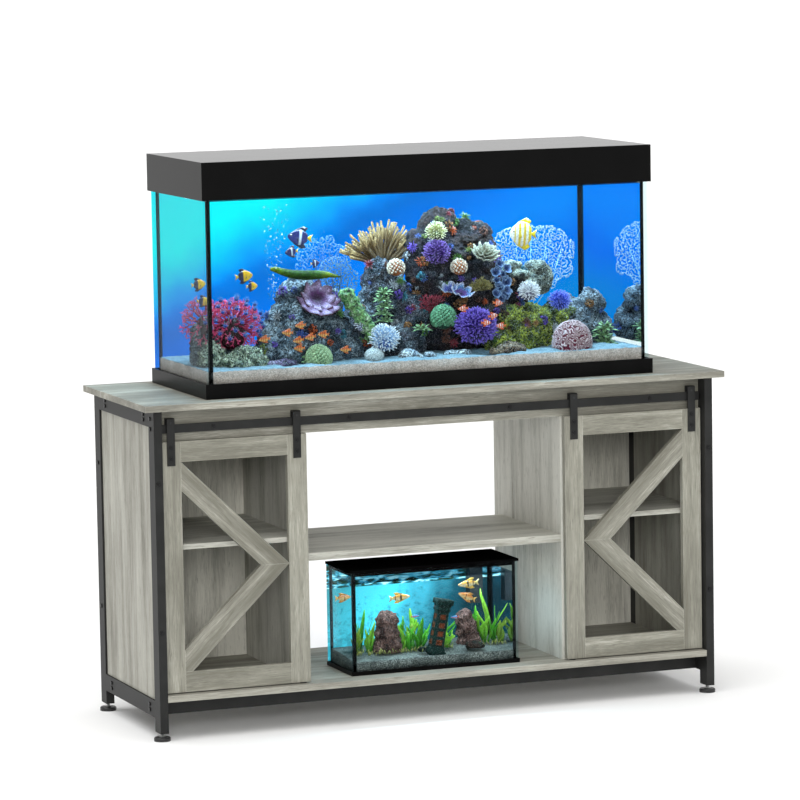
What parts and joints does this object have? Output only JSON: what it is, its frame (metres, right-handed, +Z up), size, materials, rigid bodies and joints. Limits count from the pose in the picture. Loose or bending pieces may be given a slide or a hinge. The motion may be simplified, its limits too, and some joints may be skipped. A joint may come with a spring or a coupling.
{
  "type": "aquarium on stand",
  "caption": "Long aquarium with a lift-off hood on a steel and grey oak stand with sliding barn doors, shelves and a small second tank.",
  "frame": {"origin": "on the floor, under the centre of the top board", "axes": "+Z up, +X along the stand to the right, +Y to the back; the doors face -Y"},
  "size_m": [1.47, 0.486, 1.343],
  "materials": {
    "grey_oak_laminate": "melamine laminate printed as grey-washed oak, satin",
    "powder_coated_steel": "dark grey powder coat, matt",
    "black_oxide_bolts": "black oxide",
    "nylon": "moulded black nylon",
    "foot_plastic": "moulded black polypropylene",
    "float_glass": "clear float glass with polished edges",
    "black_silicone": "black sealant, satin",
    "black_plastic": "moulded black ABS, satin",
    "light_bar_aluminium": "extruded aluminium with a white lens",
    "backdrop_film": "printed blue vinyl film",
    "coral_sand": "fine coral sand",
    "reef_rock": "porous reef rock",
    "coral": "painted coral skeletons",
    "gravel": "fine grey gravel",
    "lava_rock": "red-brown lava rock",
    "resin_ornament": "cast resin column, dark"
  },
  "bodies": {
    "stand": {"back_panels": "grey_oak_laminate", "barn_rail": "powder_coated_steel", "bottom_board": "grey_oak_laminate", "centre_shelf": "grey_oak_laminate", "corals": "coral", "cross_rails": "powder_coated_steel", "door_guides": "nylon", "fascia": "grey_oak_laminate", "foot_inserts": "foot_plastic", "frame_bolts": "black_oxide_bolts", "front_posts": "powder_coated_steel", "partition_left": "grey_oak_laminate", "partition_right": "grey_oak_laminate", "rail_bolts": "black_oxide_bolts", "rail_spacers": "powder_coated_steel", "rear_posts": "powder_coated_steel", "reef_rocks": "reef_rock", "sand_bed": "coral_sand", "side_panel_left": "grey_oak_laminate", "side_panel_right": "grey_oak_laminate", "side_rails": "powder_coated_steel", "side_shelves": "grey_oak_laminate", "tank_backdrop": "backdrop_film", "tank_bottom_glass": "float_glass", "tank_front_glass": "float_glass", "tank_rear_glass": "float_glass", "tank_seams": "black_silicone", "tank_side_glass": "float_glass", "tank_trim": "black_plastic", "top_board": "grey_oak_laminate"},
    "left_door": {"left_door_stiles": "grey_oak_laminate", "left_door_rails": "grey_oak_laminate", "left_door_braces": "grey_oak_laminate", "left_door_hangers": "powder_coated_steel", "left_door_bolts": "black_oxide_bolts"},
    "right_door": {"right_door_stiles": "grey_oak_laminate", "right_door_rails": "grey_oak_laminate", "right_door_braces": "grey_oak_laminate", "right_door_hangers": "powder_coated_steel", "right_door_bolts": "black_oxide_bolts"},
    "hood": {"hood_cover": "black_plastic", "hood_frame": "black_plastic", "light_bars": "light_bar_aluminium"},
    "small_tank": {"small_tank_trim": "black_plastic", "small_tank_glass": "float_glass", "small_tank_seams": "black_silicone", "small_tank_backdrop": "backdrop_film", "gravel_bed": "gravel", "small_tank_rocks": "lava_rock", "small_tank_column": "resin_ornament", "small_tank_filter": "black_plastic"},
    "small_lid": {"small_tank_lid": "black_plastic"},
    "left_outer_roller": {"left_outer_roller": "nylon"},
    "left_inner_roller": {"left_inner_roller": "nylon"},
    "right_outer_roller": {"right_outer_roller": "nylon"},
    "right_inner_roller": {"right_inner_roller": "nylon"},
    "foot_front_left": {"foot_front_left": "foot_plastic"},
    "foot_front_right": {"foot_front_right": "foot_plastic"},
    "foot_rear_left": {"foot_rear_left": "foot_plastic"},
    "foot_rear_right": {"foot_rear_right": "foot_plastic"}
  },
  "joints": [
    {"name": "left_door_slide", "type": "slide", "parent": "stand", "child": "left_door", "axis": [1, 0, 0], "range_m": [0, 0.325]},
    {"name": "right_door_slide", "type": "slide", "parent": "stand", "child": "right_door", "axis": [-1, 0, 0], "range_m": [0, 0.325]},
    {"name": "left_outer_roller_turn", "type": "hinge", "parent": "left_door", "child": "left_outer_roller", "pos_m": [-0.663, -0.1985, 0.7446], "axis": [0, 1, 0], "continuous": true},
    {"name": "left_inner_roller_turn", "type": "hinge", "parent": "left_door", "child": "left_inner_roller", "pos_m": [-0.353, -0.1985, 0.7446], "axis": [0, 1, 0], "continuous": true},
    {"name": "right_outer_roller_turn", "type": "hinge", "parent": "right_door", "child": "right_outer_roller", "pos_m": [0.663, -0.1985, 0.7446], "axis": [0, 1, 0], "continuous": true},
    {"name": "right_inner_roller_turn", "type": "hinge", "parent": "right_door", "child": "right_inner_roller", "pos_m": [0.353, -0.1985, 0.7446], "axis": [0, 1, 0], "continuous": true},
    {"name": "hood_lift", "type": "slide", "parent": "stand", "child": "hood", "axis": [0, 0, 1], "range_m": [0, 0.15]},
    {"name": "small_tank_slide", "type": "slide", "parent": "stand", "child": "small_tank", "axis": [0, 1, 0], "range_m": [-0.008, 0.23]},
    {"name": "small_lid_lift", "type": "slide", "parent": "small_tank", "child": "small_lid", "axis": [0, 0, 1], "range_m": [0, 0.028]},
    {"name": "foot_front_left_turn", "type": "hinge", "parent": "stand", "child": "foot_front_left", "pos_m": [-0.7, -0.205, 0], "axis": [0, 0, 1], "continuous": true},
    {"name": "foot_front_right_turn", "type": "hinge", "parent": "stand", "child": "foot_front_right", "pos_m": [0.7, -0.205, 0], "axis": [0, 0, 1], "continuous": true},
    {"name": "foot_rear_left_turn", "type": "hinge", "parent": "stand", "child": "foot_rear_left", "pos_m": [-0.7, 0.2175, 0], "axis": [0, 0, 1], "continuous": true},
    {"name": "foot_rear_right_turn", "type": "hinge", "parent": "stand", "child": "foot_rear_right", "pos_m": [0.7, 0.2175, 0], "axis": [0, 0, 1], "continuous": true}
  ],
  "couplings": [
    {"joint": "left_outer_roller_turn", "follows": "left_door_slide", "rad_per_m": 222.22},
    {"joint": "left_inner_roller_turn", "follows": "left_door_slide", "rad_per_m": 222.22},
    {"joint": "right_outer_roller_turn", "follows": "right_door_slide", "rad_per_m": -222.22},
    {"joint": "right_inner_roller_turn", "follows": "right_door_slide", "rad_per_m": -222.22}
  ]
}
